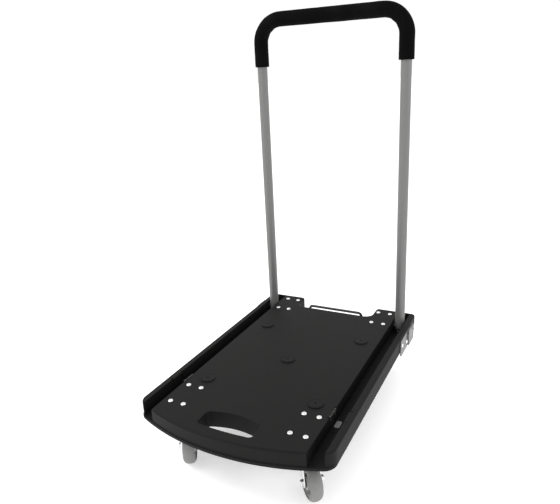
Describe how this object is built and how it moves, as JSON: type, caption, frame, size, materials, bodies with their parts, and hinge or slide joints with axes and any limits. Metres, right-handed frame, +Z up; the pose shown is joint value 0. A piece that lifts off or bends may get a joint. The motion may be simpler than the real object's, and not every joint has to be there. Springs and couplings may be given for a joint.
{
  "type": "folding platform cart",
  "caption": "Flat-bed hand cart with a folding U-shaped push handle, foam grip and swivel casters on all corners.",
  "frame": {"origin": "on the floor under the centre of the platform", "axes": "+X to the cart's right, +Y to the handle end, +Z up"},
  "size_m": [0.5036, 0.7399, 1.025],
  "materials": {
    "deck_plastic": "fine moulded grain",
    "pad_plastic": "satin",
    "bright_zinc": "bright zinc",
    "galvanised": "galvanised sheet",
    "handle_paint": "satin silver-grey paint",
    "grip_foam": "closed-cell foam",
    "black_nylon": "matt",
    "spring_steel": "dark tempered spring steel",
    "buffer_rubber": "grey rubber",
    "black_steel": "black powder coat",
    "fork_chrome": "bright chrome",
    "wheel_core": "grey polypropylene",
    "wheel_tread": "grey thermoplastic rubber"
  },
  "bodies": {
    "platform": {"platform_deck": "deck_plastic", "deck_pads": "pad_plastic", "caster_rivets": "bright_zinc", "hinge_bracket_left": "galvanised", "hinge_bracket_right": "galvanised", "bracket_rivets": "bright_zinc", "pivot_bolt_left": "bright_zinc", "pivot_bolt_right": "bright_zinc", "pivot_nuts": "bright_zinc", "pivot_washers": "black_nylon", "leg_clip_left": "spring_steel", "leg_clip_right": "spring_steel", "clip_rivets": "black_steel", "leg_buffers": "buffer_rubber", "shaft_bearings": "black_nylon", "bearing_screws": "bright_zinc", "return_springs": "spring_steel", "caster_kingpins": "bright_zinc", "swivel_balls": "bright_zinc", "caster_plate_front_left": "bright_zinc", "caster_plate_front_right": "bright_zinc", "caster_plate_rear_left": "bright_zinc", "caster_plate_rear_right": "bright_zinc"},
    "handle": {"handle_tube": "handle_paint", "handle_grip": "grip_foam", "leg_plug_left": "black_nylon", "leg_plug_right": "black_nylon", "plug_rivets": "bright_zinc"},
    "release": {"release_shaft": "black_steel", "release_bar": "black_steel", "lock_pawl_left": "galvanised", "lock_pawl_right": "galvanised"},
    "swivel_front_left": {"fork_front_left": "fork_chrome", "axle_bolt_front_left": "bright_zinc", "axle_nut_front_left": "bright_zinc"},
    "wheel_front_left": {"wheel_hub_front_left": "wheel_core", "wheel_tread_front_left": "wheel_tread", "wheel_bearings_front_left": "black_nylon"},
    "swivel_front_right": {"fork_front_right": "fork_chrome", "axle_bolt_front_right": "bright_zinc", "axle_nut_front_right": "bright_zinc"},
    "wheel_front_right": {"wheel_hub_front_right": "wheel_core", "wheel_tread_front_right": "wheel_tread", "wheel_bearings_front_right": "black_nylon"},
    "swivel_rear_left": {"fork_rear_left": "fork_chrome", "axle_bolt_rear_left": "bright_zinc", "axle_nut_rear_left": "bright_zinc"},
    "wheel_rear_left": {"wheel_hub_rear_left": "wheel_core", "wheel_tread_rear_left": "wheel_tread", "wheel_bearings_rear_left": "black_nylon"},
    "swivel_rear_right": {"fork_rear_right": "fork_chrome", "axle_bolt_rear_right": "bright_zinc", "axle_nut_rear_right": "bright_zinc"},
    "wheel_rear_right": {"wheel_hub_rear_right": "wheel_core", "wheel_tread_rear_right": "wheel_tread", "wheel_bearings_rear_right": "black_nylon"}
  },
  "joints": [
    {"name": "handle_fold", "type": "hinge", "parent": "platform", "child": "handle", "pos_m": [0, 0.313, 0.14], "axis": [1, 0, 0], "range_deg": [0, 90]},
    {"name": "release_press", "type": "hinge", "parent": "platform", "child": "release", "pos_m": [0, 0.24, 0.112], "axis": [1, 0, 0], "range_deg": [-10, 0], "stiffness_Nm_per_rad": 2, "springref_deg": 20.05},
    {"name": "swivel_front_left", "type": "hinge", "parent": "platform", "child": "swivel_front_left", "pos_m": [-0.152, -0.255, 0.106], "axis": [0, 0, 1], "continuous": true},
    {"name": "roll_front_left", "type": "hinge", "parent": "swivel_front_left", "child": "wheel_front_left", "pos_m": [-0.13552, -0.28243, 0.042], "axis": [0.8572, 0.515, 0], "continuous": true},
    {"name": "swivel_front_right", "type": "hinge", "parent": "platform", "child": "swivel_front_right", "pos_m": [0.152, -0.255, 0.106], "axis": [0, 0, 1], "continuous": true},
    {"name": "roll_front_right", "type": "hinge", "parent": "swivel_front_right", "child": "wheel_front_right", "pos_m": [0.17382, -0.2784, 0.042], "axis": [0.7314, 0.682, 0], "continuous": true},
    {"name": "swivel_rear_left", "type": "hinge", "parent": "platform", "child": "swivel_rear_left", "pos_m": [-0.152, 0.304, 0.106], "axis": [0, 0, 1], "continuous": true},
    {"name": "roll_rear_left", "type": "hinge", "parent": "swivel_rear_left", "child": "wheel_rear_left", "pos_m": [-0.17971, 0.32, 0.042], "axis": [-0.5, -0.866, 0], "continuous": true},
    {"name": "swivel_rear_right", "type": "hinge", "parent": "platform", "child": "swivel_rear_right", "pos_m": [0.152, 0.304, 0.106], "axis": [0, 0, 1], "continuous": true},
    {"name": "roll_rear_right", "type": "hinge", "parent": "swivel_rear_right", "child": "wheel_rear_right", "pos_m": [0.12193, 0.31494, 0.042], "axis": [-0.342, -0.9397, 0], "continuous": true}
  ]
}
